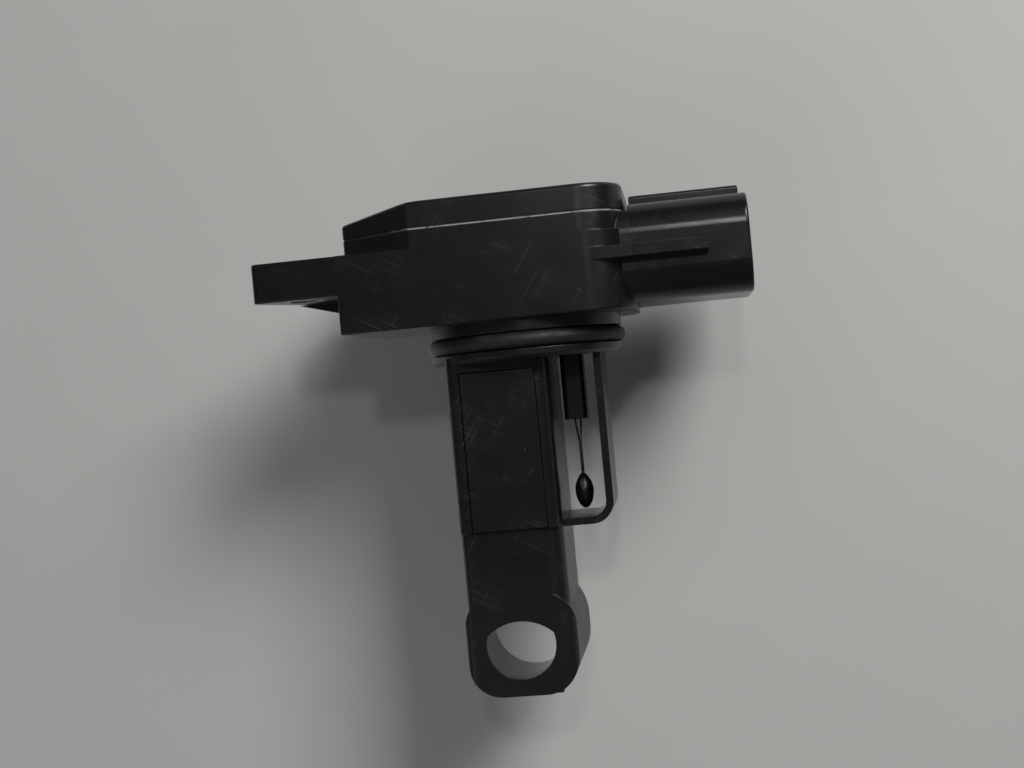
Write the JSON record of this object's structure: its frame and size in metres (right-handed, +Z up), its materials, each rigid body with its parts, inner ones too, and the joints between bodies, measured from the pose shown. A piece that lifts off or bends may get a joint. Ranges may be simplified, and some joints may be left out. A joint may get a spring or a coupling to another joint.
{
  "type": "mass airflow sensor",
  "caption": "Plug-in hot-wire airflow sensor: boxy head with a screw ear on two sides and a side connector, O-ring boss, flat probe with a flow tube at its tip and a guarded temperature bead.",
  "frame": {"origin": "centre of the round boss, on the seat under the head", "axes": "+Z up through the head and its cover, the probe hangs along -Z; +X out of the connector's mouth; -Y is the face with the bypass cover and the flow tube's inlet"},
  "size_m": [0.0717, 0.0423, 0.0741],
  "materials": {
    "housing_plastic": "moulded, lightly grained, satin",
    "cover_plastic": "moulded, satin",
    "seal_adhesive": "cured silicone",
    "ring_rubber": "smooth, lightly greased",
    "bush_steel": "zinc plated, dull",
    "carrier_plastic": "moulded",
    "element_glass": "glass coated",
    "bead_epoxy": "dipped epoxy, semi-gloss",
    "board_laminate": "white ceramic substrate",
    "chip_epoxy": "moulded epoxy",
    "capacitor_ceramic": "fired ceramic",
    "terminal_tin": "tin plated",
    "pin_steel": "drawn, bright",
    "lead_wire": "tinned wire",
    "ribbon_aluminium": "bright"
  },
  "bodies": {
    "root": {"air_temp_bead": "bead_epoxy", "bead_lead_1": "lead_wire", "bead_lead_2": "lead_wire", "bead_pin_1": "pin_steel", "bead_pin_2": "pin_steel", "board_adhesive": "seal_adhesive", "bypass_cover": "cover_plastic", "capacitor_1": "capacitor_ceramic", "capacitor_2": "capacitor_ceramic", "circuit_board": "board_laminate", "cold_element": "element_glass", "control_chip": "chip_epoxy", "cover_seal": "seal_adhesive", "element_carrier": "carrier_plastic", "head_cover": "cover_plastic", "hot_element": "element_glass", "left_bush": "bush_steel", "o_ring": "ring_rubber", "rear_bush": "bush_steel", "resistor_1": "chip_epoxy", "resistor_2": "chip_epoxy", "ribbon_1": "ribbon_aluminium", "ribbon_10": "ribbon_aluminium", "ribbon_11": "ribbon_aluminium", "ribbon_2": "ribbon_aluminium", "ribbon_3": "ribbon_aluminium", "ribbon_4": "ribbon_aluminium", "ribbon_5": "ribbon_aluminium", "ribbon_6": "ribbon_aluminium", "ribbon_7": "ribbon_aluminium", "ribbon_8": "ribbon_aluminium", "ribbon_9": "ribbon_aluminium", "sensor_housing": "housing_plastic", "support_pin_1": "pin_steel", "support_pin_2": "pin_steel", "support_pin_3": "pin_steel", "support_pin_4": "pin_steel", "terminal_1": "terminal_tin", "terminal_2": "terminal_tin", "terminal_3": "terminal_tin", "terminal_4": "terminal_tin", "terminal_5": "terminal_tin"}
  },
  "joints": []
}
